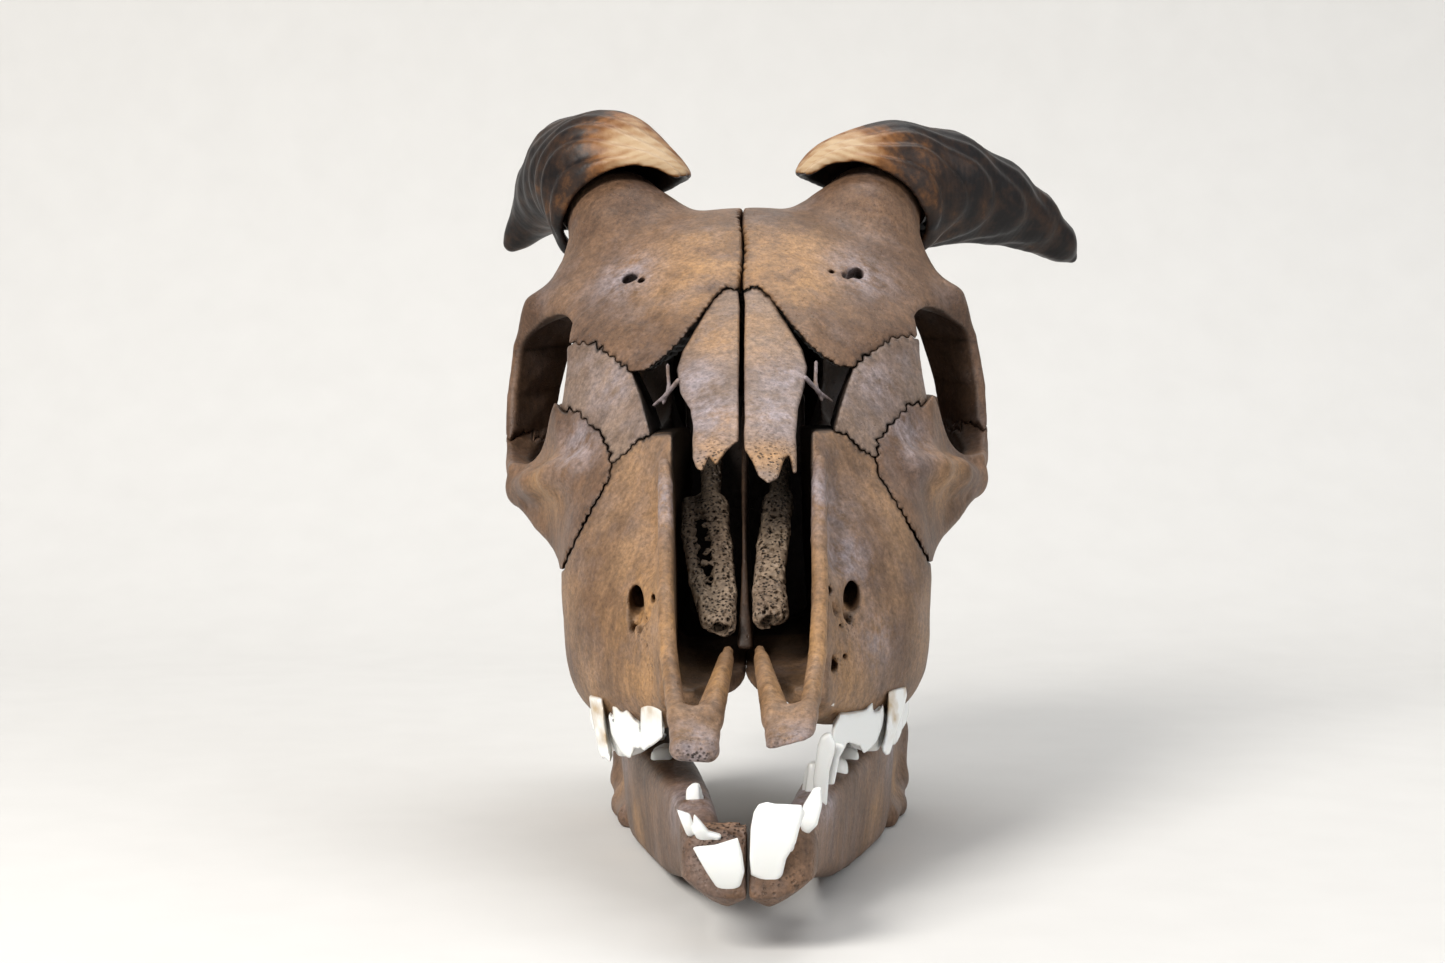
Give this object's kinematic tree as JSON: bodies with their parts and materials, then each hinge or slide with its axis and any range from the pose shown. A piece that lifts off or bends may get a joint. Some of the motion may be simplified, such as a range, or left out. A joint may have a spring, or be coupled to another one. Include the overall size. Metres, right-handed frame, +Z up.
{
  "type": "goat skull",
  "caption": "Life-size skull of a young goat resting on its lower jaw, with loose horn sheaths on the horn cores and open seams between the face bones.",
  "frame": {"origin": "middle of the bounding box in X and Y, at the surface the jaw rests on", "axes": "+Z up, -Y towards the front teeth, +X towards the animal's left"},
  "size_m": [0.1369, 0.2039, 0.1555],
  "materials": {
    "bone": "dry brown bone, matte and finely pitted",
    "horn": "dark ringed horn, paler at the open end"
  },
  "bodies": {
    "root": {"frontal_left": "bone", "frontal_right": "bone", "nasal_left": "bone", "nasal_right": "bone", "lacrimal_left": "bone", "lacrimal_right": "bone", "zygomatic_left": "bone", "zygomatic_right": "bone", "premaxilla_left": "bone", "premaxilla_right": "bone", "maxilla_left": "bone", "maxilla_right": "bone", "turbinate_left": "bone", "turbinate_right": "bone", "mandible_left": "bone", "mandible_right": "bone", "horn_left": "horn", "horn_right": "horn", "braincase": "bone", "palatine": "bone", "vomer": "bone"}
  },
  "joints": []
}
